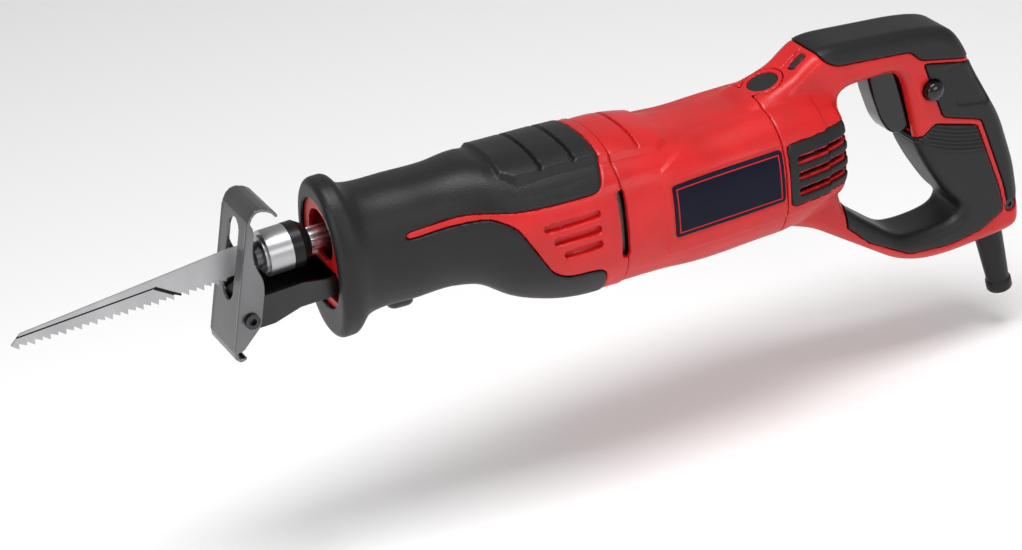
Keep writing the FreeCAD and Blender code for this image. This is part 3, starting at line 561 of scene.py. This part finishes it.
def rear_field(x, y, z, side):
    """One half of the rear housing; under the soft grips it is sunk to make room for them."""
    body = rear_body(x, y, z)
    grips = [inside_outline(zone, x, z) for zone in (TOP_GRIP, BACK_GRIP, INNER_GRIP)]
    soft = np.minimum(np.minimum(grips[0], grips[1]), np.maximum(grips[2], 366.0 - x))
    bare = rounded_max(body, -(soft - 0.3), 0.7)
    solid = np.minimum(bare, body + 2.6)
    solid = rounded_max(solid, -(body + 4.6), 0.5)
    solid = rounded_max(solid, -np.maximum(vent_area(x, y, z), -(body + 1.9)), 0.5)
    for k in range(3):
        drop = GRILLE_PITCH * k
        slot = box_field(x, y, z, (322, -70, -26.4 - drop), (370, 70, -23.8 - drop), 1.2)
        solid = np.maximum(solid, -np.maximum(slot, 20.0 - np.abs(y)))
    solid = rounded_max(solid, seam_side(x, y, z) + 0.1, 0.7)
    solid = rounded_max(solid, -trigger_gap(x, y, z), 0.6)
    solid = rounded_max(solid, -dial_well(x, y, z, 9.1, 0.0), 0.5)
    solid = side_openings(solid, x, y, z, 6.5)
    boot_r = np.hypot((x - BOOT_AT[0]) * -BOOT_AXIS[2] + (z - BOOT_AT[2]) * BOOT_AXIS[0], y)
    solid = rounded_max(solid, -np.maximum(boot_r - 8.6, z + 120.0), 0.8)
    return rounded_max(solid, 0.12 + side * -y, 0.35)


for side, name in ((-1, "rear_housing_left"), (1, "rear_housing_right")):
    low_y, high_y = sorted((side * -3.0, side * 44.0))
    place(skin(name, lambda x, y, z, side=side: rear_field(x, y, z, side), (309, low_y, -137),
               (493, high_y, 27), 1.05, finishes["red_plastic"]), "housing", "red_plastic", name)

# %% [markdown]
# ## Soft grips of the handle
# Three pads of the same rubber cover the top, the back and the inside of the D. Each is the handle's
# field grown by a little, cut to its outline, with a rolled rim.

# %% Handle grips
THUMB_REST = rounded_outline([(434.5, -9.5), (452.0, -9.5), (468.5, -41.5), (443.0, -36.5)], 4.0)


def back_relief(x, z):
    """A sunk panel in the back grip."""
    return 0.9 * np.clip(-inside_outline(THUMB_REST, x, z) / 0.8, 0, 1)


def inner_relief(x, z):
    """Close ribs below the trigger, which follow the grip's upper edge."""
    down = (x - 432.0) * -0.33 - (z + 43.0) * 0.944 + ((x - 440.0) / 30.0) ** 2 * 4.0
    ribs = 0.35 * (1 - np.cos(2 * np.pi * down / 2.4))
    return ribs * np.clip((down - 1.0) / 1.5, 0, 1) * np.clip((19.0 - down) / 3.0, 0, 1)


def no_relief(x, z):
    return 0.0


def grip_pad(zone, relief):
    """The field of one rubber pad, cut to its zone and pressed in by its relief."""
    def field(x, y, z):
        body = rear_body(x, y, z)
        solid = rounded_max(body - 0.6 + relief(x, z), inside_outline(zone, x, z) + 0.3, 1.0)
        solid = rounded_max(solid, -(body + 2.4), 0.4)
        solid = rounded_max(solid, -trigger_gap(x, y, z), 0.6)
        return side_openings(solid, x, y, z, 6.6)
    return field


for name, zone, relief, low, high in (
        ("top_grip", TOP_GRIP, no_relief, (340, -20, -12), (460, 20, 27)),
        ("back_grip", BACK_GRIP, back_relief, (418, -20, -119), (493, 20, 0)),
        ("inner_grip", INNER_GRIP, inner_relief, (364.5, -20, -129), (482, 20, -40))):
    field = grip_pad(zone, relief)
    if name == "inner_grip":
        base = field
        field = lambda x, y, z, base=base: rounded_max(base(x, y, z), 366.5 - x, 0.5)
    step = 0.75 if relief is inner_relief else 0.85
    place(skin(name, field, low, high, step, finishes["black_rubber"]),
          "housing", "black_rubber", name)


# %% Vent grilles
def grille_field(x, y, z, side):
    body = rear_body(x, y, z)
    solid = rounded_max(body - 0.3, vent_area(x, y, z) + 0.35, 0.7)
    solid = rounded_max(solid, -(body + 1.7), 0.3)
    for k in range(3):
        drop = GRILLE_PITCH * k
        slot = box_field(x, y, z, (321.5, -70, -27.8 - drop), (370, 70, -22.0 - drop), 2.0)
        solid = rounded_max(solid, -slot, 0.5)
    return np.maximum(solid, 8.0 - side * y)


for side, name in ((-1, "grille_left"), (1, "grille_right")):
    low_y, high_y = sorted((side * 14.0, side * 43.0))
    place(skin(name, lambda x, y, z, side=side: grille_field(x, y, z, side), (313, low_y, -56),
               (366, high_y, -11), 0.8, finishes["grille_plastic"]), "housing", "grille_plastic", name)

# %% [markdown]
# ## Controls
# The trigger is a glossy finger lever with a hooked front edge, the lock-on button a domed pin beside
# it, the indicator window a thin inlay, and the release button a small pad under the barrel. The speed
# dial is the frame's own plain disc, which shows through its well in the top.

# %% Trigger, lock-on button, window and release button
TRIGGER = rounded_outline([(390.0, -5.0), (394.5, -3.0), (394.5, 3.6), (402.0, 3.6), (408.0, -3.0),
                           (418.2, -43.5), (413.0, -47.6), (404.0, -46.0), (398.0, -36.0),
                           (392.5, -18.0)], 5)


def trigger_field(x, y, z):
    lever = rounded_max(inside_outline(TRIGGER, x, z), np.abs(y) - 8.9, 3.0)
    return rounded_max(lever, -(np.hypot(x - 398.0, z - 0.6) - 2.1), 0.3)


place(skin("trigger", trigger_field, (384, -11, -50), (422, 11, 7), 0.7, finishes["gloss_black"]),
      "trigger", "gloss_black", "trigger")


def lock_field(x, y, z):
    stem = np.maximum(np.hypot(x - 427.0, z + 21.0) - 6.0, y + 13.1)
    dome = np.sqrt((x - 427.0) ** 2 + (y + 15.4) ** 2 + (z + 21.0) ** 2) - 8.3
    return rounded_max(stem, dome, 0.8)


place(skin("lock_on_button", lock_field, (419, -26, -29), (435, -11, -13), 0.5,
           finishes["gloss_black"]), "lock_on_button", "gloss_black", "lock_on_button")


def window_field(x, y, z):
    inlay = np.abs(rear_body(x, y, z) + 0.6) - 0.75
    return rounded_max(inlay, box_field(x, y, z, (340.6, -8.6, 4.0), (349.4, -3.4, 30.0), 0.8), 0.3)


place(skin("indicator_window", window_field, (338, -11, 8), (352, -1, 26), 0.4,
           finishes["window_plastic"]), "housing", "window_plastic", "indicator_window")


def release_field(x, y, z):
    pad = rounded_max(lofted(FRONT, x, y, z + 5.5), -(lofted(FRONT, x, y, z) + 3.0), 1.0)
    pad = rounded_max(pad, box_field(x, y, z, (82.6, -8.6, -62.0), (97.8, 8.6, -40.0), 5.0), 3.0)
    stem = box_field(x, y, z, (86.2, -3.4, -50.0), (93.8, 3.4, -28.0), 0.6)
    return np.minimum(pad, stem)


place(skin("release_button", release_field, (80, -11, -60), (100, 11, -26), 0.6,
           finishes["gloss_black"]), "release_button", "gloss_black", "release_button")

# %% [markdown]
# ## Shoe
# The shoe is one folded strip of steel: a face plate with a slot for the blade, a lip rolled back at
# the top, a curled foot and two side flanges. A field of thin plates keeps the folds round. It is
# worked out upright, with the face at x = 0, and the whole of it leans forward by SHOE_LEAN.

# %% Shoe
SHOE_LEAN = math.radians(14.0)
HALF_SHEET = 0.88
FLANGE = rounded_outline([(-2.0, -44.0), (4.5, -43.5), (13.6, -29.0), (13.6, -9.5), (12.0, -2.5),
                          (6.4, 6.0), (4.8, 11.0), (4.4, 16.0), (4.4, 24.0), (2.5, 28.0),
                          (-2.0, 28.0)], 2.5)
FACE_LINE = [(15.8, 32.8), (14.0, 34.6), (10.8, 35.8), (6.8, 36.2), (4.0, 35.2), (2.0, 32.8),
             (1.0, 29.5), (0.9, 24.0), (0.9, -44.0), (1.7, -47.0), (4.2, -48.4), (6.4, -47.2)]


def strip_field(a, b):
    """Distance to the folded centre line, half the sheet away."""
    best = 1e9
    for (ax, az), (bx, bz) in zip(FACE_LINE, FACE_LINE[1:]):
        ex, ez = bx - ax, bz - az
        t = np.clip(((a - ax) * ex + (b - az) * ez) / (ex * ex + ez * ez), 0, 1)
        best = np.minimum(best, np.hypot(a - ax - t * ex, b - az - t * ez))
    return best - HALF_SHEET


def shoe_field(x, y, z):
    a = x * math.cos(SHOE_LEAN) - z * math.sin(SHOE_LEAN)
    b = x * math.sin(SHOE_LEAN) + z * math.cos(SHOE_LEAN)
    face = rounded_max(strip_field(a, b), np.abs(y) - 17.3, 0.5)
    flange = rounded_max(inside_outline(FLANGE, a, b), np.abs(np.abs(y) - 16.7) - 0.85, 0.5)
    plate = soft_min(face, rounded_max(flange, -a, 0.8), 1.2)
    window = np.hypot(np.abs(y), np.maximum(np.abs(b - 3.5) - 16.0, 0)) - 6.9
    plate = rounded_max(plate, -np.maximum(window, a - 8.0), 0.4)
    pin = np.hypot(x - 1.3, z + 26.6) - 3.1
    return rounded_max(plate, -pin, 0.3)


place(skin("shoe", shoe_field, (-20, -20, -56), (32, 20, 42), 0.6, finishes["shoe_steel"]),
      "shoe", "shoe_steel", "shoe")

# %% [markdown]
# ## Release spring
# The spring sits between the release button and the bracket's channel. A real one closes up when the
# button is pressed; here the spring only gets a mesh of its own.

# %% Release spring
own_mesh(frame["nodes"]["release_spring"])

# %% [markdown]
# ## Saw blade
# A blade is punched from strip, so its outline is a flat shape of even thickness. The teeth repeat
# at six to the inch, and every second one is a little shorter. Geometry Nodes lays them along the
# edge: one tooth is a block with its lower end drawn to a point, and the pitch is a named input.

# %% Printed stripe
def line_mask(nodes, links, split, start, end, half):
    """1 on a straight printed line from start to end, in millimetres on the blade's side."""
    run = math.hypot(end[0] - start[0], end[1] - start[1])
    ux, uz = (end[0] - start[0]) / run, (end[1] - start[1]) / run
    sums = []
    for cx, cz in ((uz, -ux), (ux, uz)):
        part_x, part_z, total = [nodes.new("ShaderNodeMath") for k in range(3)]
        part_x.operation, part_z.operation, total.operation = "MULTIPLY", "MULTIPLY", "ADD"
        links.new(split.outputs["X"], part_x.inputs[0])
        links.new(split.outputs["Z"], part_z.inputs[0])
        part_x.inputs[1].default_value, part_z.inputs[1].default_value = cx, cz
        links.new(part_x.outputs[0], total.inputs[0])
        links.new(part_z.outputs[0], total.inputs[1])
        sums.append(total)
    tests = []
    middle = ((start[0] + end[0]) / 2, (start[1] + end[1]) / 2)
    for total, centre, reach in ((sums[0], uz * middle[0] - ux * middle[1], half),
                                 (sums[1], ux * middle[0] + uz * middle[1], run / 2)):
        test = nodes.new("ShaderNodeMath")
        test.operation = "COMPARE"
        links.new(total.outputs[0], test.inputs[0])
        test.inputs[1].default_value, test.inputs[2].default_value = centre * MM, reach * MM
        tests.append(test)
    both = nodes.new("ShaderNodeMath")
    both.operation = "MULTIPLY"
    links.new(tests[0].outputs[0], both.inputs[0])
    links.new(tests[1].outputs[0], both.inputs[1])
    return both


def printed_blade_finish():
    """Blade steel with a thin line along it that turns down into a thicker stroke."""
    material = finish("printed_blade", (0.40, 0.40, 0.41), 0.36, 0.25, 900, 0.6)
    nodes, links = material.node_tree.nodes, material.node_tree.links
    shader = nodes["Principled BSDF"]
    old = shader.inputs["Base Color"].links[0].from_socket
    split = nodes.new("ShaderNodeSeparateXYZ")
    where = [n for n in nodes if n.bl_idname == "ShaderNodeTexCoord"][0]
    links.new(where.outputs["Object"], split.inputs["Vector"])
    thin = line_mask(nodes, links, split, (-119.3, -3.2), (-42.0, 0.2), 0.45)
    thick = line_mask(nodes, links, split, (-42.4, 0.2), (-27.7, -9.4), 0.95)
    ink = nodes.new("ShaderNodeMath")
    ink.operation = "MAXIMUM"
    links.new(thin.outputs[0], ink.inputs[0])
    links.new(thick.outputs[0], ink.inputs[1])
    mix = nodes.new("ShaderNodeMix")
    mix.data_type = "RGBA"
    links.new(ink.outputs[0], mix.inputs[0])
    links.new(old, mix.inputs[6])
    mix.inputs[7].default_value = (0.01, 0.01, 0.01, 1.0)
    links.new(mix.outputs[2], shader.inputs["Base Color"])
    return material


printed_steel = printed_blade_finish()

# %% Blade blank
def flat_piece(points, half, material, name, bevel=0.2):
    """An outline in the XZ plane made into a plate, with small bevels."""
    shape = bmesh.new()
    ring = [shape.verts.new((x * MM, -half * MM, z * MM)) for x, z in points]
    face = shape.faces.new(ring)
    moved = bmesh.ops.extrude_face_region(shape, geom=[face])
    verts = [v for v in moved["geom"] if isinstance(v, bmesh.types.BMVert)]
    bmesh.ops.translate(shape, verts=verts, vec=(0, 2 * half * MM, 0))
    rims = [e for e in shape.edges if abs(e.verts[0].co.y - e.verts[1].co.y) < 1e-7]
    bmesh.ops.bevel(shape, geom=rims, offset=bevel * MM, segments=2, affect="EDGES")
    bmesh.ops.recalc_face_normals(shape, faces=shape.faces)
    mesh = bpy.data.meshes.new(name)
    shape.to_mesh(mesh)
    shape.free()
    mesh.materials.append(material)
    piece = bpy.data.objects.new(name, mesh)
    bpy.context.scene.collection.objects.link(piece)
    return piece


blank = flat_piece([(-120.6, -7.0), (-121.4, -6.4), (-115.8, -1.4), (-2.0, 8.8), (9.0, 9.0),
                    (12.0, 6.2), (28.0, 6.2), (28.0, -6.2), (12.0, -6.2), (9.0, -7.0)],
                   0.62, printed_steel, "blade_blank")


# %% Tooth row
def tooth_row(name, pitch, depth, thick, count, short):
    """A node tree that sets a row of pointed teeth, every second one shorter."""
    tree = bpy.data.node_groups.new(name, "GeometryNodeTree")
    sockets = {}
    for label, kind, value in (
            ("Pitch", "NodeSocketFloat", pitch), ("Depth", "NodeSocketFloat", depth),
            ("Thickness", "NodeSocketFloat", thick), ("Count", "NodeSocketInt", count),
            ("Short tooth", "NodeSocketFloat", short)):
        item = tree.interface.new_socket(label, in_out="INPUT", socket_type=kind)
        item.default_value = value
        sockets[label] = item.identifier
    tree.interface.new_socket("Geometry", in_out="OUTPUT", socket_type="NodeSocketGeometry")
    add, link = tree.nodes.new, tree.links.new
    given, result = add("NodeGroupInput"), add("NodeGroupOutput")
    size = add("ShaderNodeCombineXYZ")
    link(given.outputs["Pitch"], size.inputs[0])
    link(given.outputs["Thickness"], size.inputs[1])
    link(given.outputs["Depth"], size.inputs[2])
    block = add("GeometryNodeMeshCube")
    link(size.outputs[0], block.inputs["Size"])
    # the lower end is drawn to a point at the cutting side
    place_now, parts = add("GeometryNodeInputPosition"), add("ShaderNodeSeparateXYZ")
    link(place_now.outputs[0], parts.inputs[0])
    low = add("FunctionNodeCompare")
    low.operation = "LESS_THAN"
    link(parts.outputs[2], low.inputs[0])
    point = add("ShaderNodeMath")
    point.operation = "MULTIPLY"
    link(given.outputs["Pitch"], point.inputs[0])
    point.inputs[1].default_value = 0.40
    tip = add("ShaderNodeCombineXYZ")
    link(point.outputs[0], tip.inputs[0])
    link(parts.outputs[1], tip.inputs[1])
    link(parts.outputs[2], tip.inputs[2])
    draw = add("GeometryNodeSetPosition")
    link(block.outputs["Mesh"], draw.inputs["Geometry"])
    link(low.outputs[0], draw.inputs["Selection"])
    link(tip.outputs[0], draw.inputs["Position"])
    weld = add("GeometryNodeMergeByDistance")
    weld.inputs["Distance"].default_value = 1e-6
    link(draw.outputs[0], weld.inputs["Geometry"])
    # the block's top moves to the edge it stands on, so a short tooth keeps its root there
    half, drop = add("ShaderNodeMath"), add("ShaderNodeCombineXYZ")
    lower = add("GeometryNodeTransform")
    half.operation = "MULTIPLY"
    link(given.outputs["Depth"], half.inputs[0])
    half.inputs[1].default_value = -0.5
    link(half.outputs[0], drop.inputs[2])
    link(weld.outputs[0], lower.inputs["Geometry"])
    link(drop.outputs[0], lower.inputs["Translation"])
    step = add("ShaderNodeCombineXYZ")
    link(given.outputs["Pitch"], step.inputs[0])
    row = add("GeometryNodeMeshLine")
    link(given.outputs["Count"], row.inputs["Count"])
    link(step.outputs[0], row.inputs["Offset"])
    index, odd = add("GeometryNodeInputIndex"), add("ShaderNodeMath")
    odd.operation = "MODULO"
    link(index.outputs[0], odd.inputs[0])
    odd.inputs[1].default_value = 2.0
    tall = add("ShaderNodeMix")
    link(odd.outputs[0], tall.inputs[0])
    tall.inputs[2].default_value = 1.0
    link(given.outputs["Short tooth"], tall.inputs[3])
    scale = add("ShaderNodeCombineXYZ")
    scale.inputs[0].default_value = 1.0
    scale.inputs[1].default_value = 1.0
    link(tall.outputs[0], scale.inputs[2])
    copies = add("GeometryNodeInstanceOnPoints")
    link(row.outputs[0], copies.inputs["Points"])
    link(lower.outputs[0], copies.inputs["Instance"])
    link(scale.outputs[0], copies.inputs["Scale"])
    real, dress = add("GeometryNodeRealizeInstances"), add("GeometryNodeSetMaterial")
    link(copies.outputs[0], real.inputs[0])
    link(real.outputs[0], dress.inputs["Geometry"])
    dress.inputs["Material"].default_value = printed_steel
    link(dress.outputs[0], result.inputs[0])
    return tree, sockets


TOOTH_PITCH = 4.233
TEETH = 28
tree, sockets = tooth_row("tooth_row", TOOTH_PITCH * MM, 3.2 * MM, 1.2 * MM, TEETH, 0.66)
holder = bpy.data.objects.new("teeth", bpy.data.meshes.new("teeth"))
bpy.context.scene.collection.objects.link(holder)
modifier = holder.modifiers.new("tooth_row", "NODES")
modifier.node_group = tree
modifier[sockets["Count"]] = TEETH
depsgraph = bpy.context.evaluated_depsgraph_get()
teeth = bpy.data.meshes.new_from_object(holder.evaluated_get(depsgraph))
holder.modifiers.clear()
teeth.transform(Matrix.Translation((-119.4 * MM, 0, -6.8 * MM)))
holder.data = teeth
print("teeth:", len(teeth.polygons), "faces")

# %% Join blank and teeth
def join(first, *others):
    merged = bmesh.new()
    for piece in (first,) + others:
        merged.from_mesh(piece.data)
    merged.to_mesh(first.data)
    merged.free()
    for piece in others:
        bpy.data.objects.remove(piece)
    return first


blade = join(blank, holder)
blade.name = "saw_blade"
place(blade, "blade_plunger", "blade_steel", "blade")

# %% [markdown]
# ## Strain relief boot
# A tapered rubber boot with a thick end ring keeps the cord from kinking. It is a turned shape, so its
# outline is spun round the cord's axis, which leans back a little under the handle.

# %% Boot
def turned(name, profile, start, axis, material, segments=64):
    """Spins (along, radius) pairs, closed at both ends, about an axis from start."""
    axis = Vector(axis).normalized()
    side = axis.orthogonal().normalized()
    other = axis.cross(side)
    points, faces = [], []
    for u, r in profile:
        for k in range(segments):
            a = 2 * math.pi * k / segments
            spoke = side * math.cos(a) + other * math.sin(a)
            points.append(Vector(start) + axis * u + spoke * r)
    n = len(profile)
    for i in range(n):
        j = (i + 1) % n
        for k in range(segments):
            m = (k + 1) % segments
            faces.append((i * segments + k, j * segments + k, j * segments + m, i * segments + m))
    piece = to_object(name, [tuple(p) for p in points], faces, material, 35)
    tidy = bmesh.new()
    tidy.from_mesh(piece.data)
    bmesh.ops.recalc_face_normals(tidy, faces=tidy.faces)
    tidy.to_mesh(piece.data)
    tidy.free()
    return piece


profile = [(-3.0, 4.2), (-3.0, 9.8), (-0.4, 9.8), (0.0, 8.3), (3.0, 9.2), (14.0, 8.8), (34.0, 7.9),
           (51.0, 7.0), (52.4, 7.0), (52.9, 7.6), (53.6, 7.9), (58.8, 7.9), (59.4, 7.5), (59.4, 4.2)]
boot = turned("strain_relief", profile, BOOT_AT, BOOT_AXIS, finishes["boot_rubber"])
place(boot, "housing", "boot_rubber", "strain_relief")

# %% [markdown]
# ## Studio
# A pale floor just below the saw catches a soft shadow, one large lamp lights it from above and two
# weaker ones fill the front and the side. The camera stands to the front left, a little above.

# %% Floor, lamps and camera
floor_mesh = bpy.data.meshes.new("floor")
floor_mesh.from_pydata([(-6, -6, 0), (6, -6, 0), (6, 6, 0), (-6, 6, 0)], [], [(0, 1, 2, 3)])
FLOOR_LEVEL = -0.205
floor_mesh.transform(Matrix.Translation((0, 0, FLOOR_LEVEL)))
floor = bpy.data.objects.new("floor", floor_mesh)
bpy.context.scene.collection.objects.link(floor)
floor_mesh.materials.append(finish("pale_floor", (0.97, 0.97, 0.97), 0.8, drift=0.0))

world = bpy.data.worlds.new("studio")
bpy.context.scene.world = world
world.use_nodes = True
world.node_tree.nodes["Background"].inputs["Color"].default_value = (1, 1, 1, 1)
world.node_tree.nodes["Background"].inputs["Strength"].default_value = 0.42


def lamp(name, at, aim, size, power):
    """A rectangular lamp at one point, turned towards another."""
    light = bpy.data.lights.new(name, "AREA")
    light.shape = "RECTANGLE"
    light.size, light.size_y, light.energy = size[0], size[1], power
    holder = bpy.data.objects.new(name, light)
    holder.location = at
    holder.rotation_euler = (Vector(aim) - Vector(at)).to_track_quat("-Z", "Y").to_euler()
    bpy.context.scene.collection.objects.link(holder)


CAMERA_DISTANCE = 1.5
AIM = Vector((0.128, -0.0689, -0.0193))
lamp("top_light", (0.1, -0.35, 1.25), (0.17, 0, -0.1), (1.0, 0.5), 16)
lamp("front_light", (-1.3, -0.9, 0.5), (0.1, 0, -0.05), (0.9, 0.7), 8)
lamp("side_light", (0.7, -1.6, 0.5), (0.2, 0, -0.05), (0.9, 0.5), 5)

right = Vector((0.8850, -0.4552, -0.0974))
up = Vector((0.2940, 0.3844, 0.8751))
back = Vector((-0.3609, -0.8031, 0.4741))
camera_data = bpy.data.cameras.new("camera")
camera_data.lens = 101.4481
camera_data.sensor_width = 36.0
camera = bpy.data.objects.new("camera", camera_data)
turn = Matrix((right, up, back)).transposed().to_4x4()
camera.matrix_world = Matrix.Translation(AIM + back.normalized() * CAMERA_DISTANCE) @ turn
bpy.context.scene.collection.objects.link(camera)
bpy.context.scene.camera = camera
bpy.context.scene.view_settings.view_transform = "Standard"
